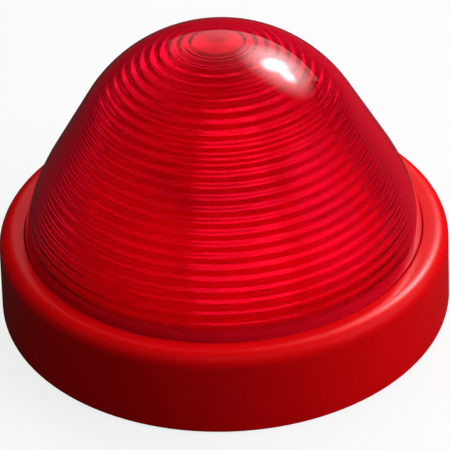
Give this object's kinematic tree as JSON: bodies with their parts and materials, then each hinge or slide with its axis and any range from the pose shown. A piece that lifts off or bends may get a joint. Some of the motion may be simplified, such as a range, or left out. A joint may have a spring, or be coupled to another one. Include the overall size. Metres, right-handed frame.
{
  "type": "fire alarm light",
  "caption": "Round surface-mounted fire alarm light: ribbed red lens dome held by an opaque red bayonet collar over a base with an LED lamp unit.",
  "frame": {"origin": "centre of the back, on the wall plane", "axes": "+Z out of the wall towards the apex of the lens, X along the line through the two wall screws"},
  "size_m": [0.1, 0.1, 0.0624],
  "materials": {
    "lens_red": "clear red polycarbonate, polished",
    "collar_red": "opaque red moulding, glossy",
    "housing_white": "white moulding, satin",
    "seal_rubber": "black rubber",
    "board_green": "green solder mask",
    "screw_steel": "zinc-plated",
    "reflector_white": "white, glossy",
    "tower_white": "white, satin",
    "led_red": "clear red resin",
    "lead_tin": "tinned wire",
    "terminal_black": "black moulding",
    "cage_brass": "plated brass",
    "resistor_beige": "lacquered",
    "chip_black": "moulded resin",
    "capacitor_sleeve": "shrink sleeve",
    "absorber_blue": "dipped lacquer"
  },
  "bodies": {
    "base": {"base_housing": "housing_white", "lens_gasket": "seal_rubber", "wall_gasket": "seal_rubber", "circuit_board": "board_green", "board_screws": "screw_steel", "reflector": "reflector_white", "led_tower": "tower_white", "side_leds": "led_red", "top_led": "led_red", "led_leads": "lead_tin", "terminal_block": "terminal_black", "terminal_cages": "cage_brass", "terminal_screws": "screw_steel", "terminal_pins": "lead_tin", "series_resistors": "resistor_beige", "resistor_leads": "lead_tin", "bridge_rectifier": "chip_black", "bridge_pins": "lead_tin", "smoothing_capacitor": "capacitor_sleeve", "capacitor_leads": "lead_tin", "surge_absorber": "absorber_blue", "surge_absorber_leads": "lead_tin"},
    "lens": {"lens_dome": "lens_red"},
    "collar_ring": {"collar": "collar_red"}
  },
  "joints": [
    {"name": "lens_lift", "type": "slide", "parent": "base", "child": "lens", "axis": [0, 0, 1], "range_m": [0, 0.00301]},
    {"name": "collar_turn", "type": "hinge", "parent": "lens", "child": "collar_ring", "pos_m": [0, 0, 0], "axis": [0, 0, 1], "range_deg": [0, 45]}
  ],
  "couplings": [
    {"joint": "lens_lift", "follows": "collar_turn", "m_per_rad": 0.0038197}
  ]
}
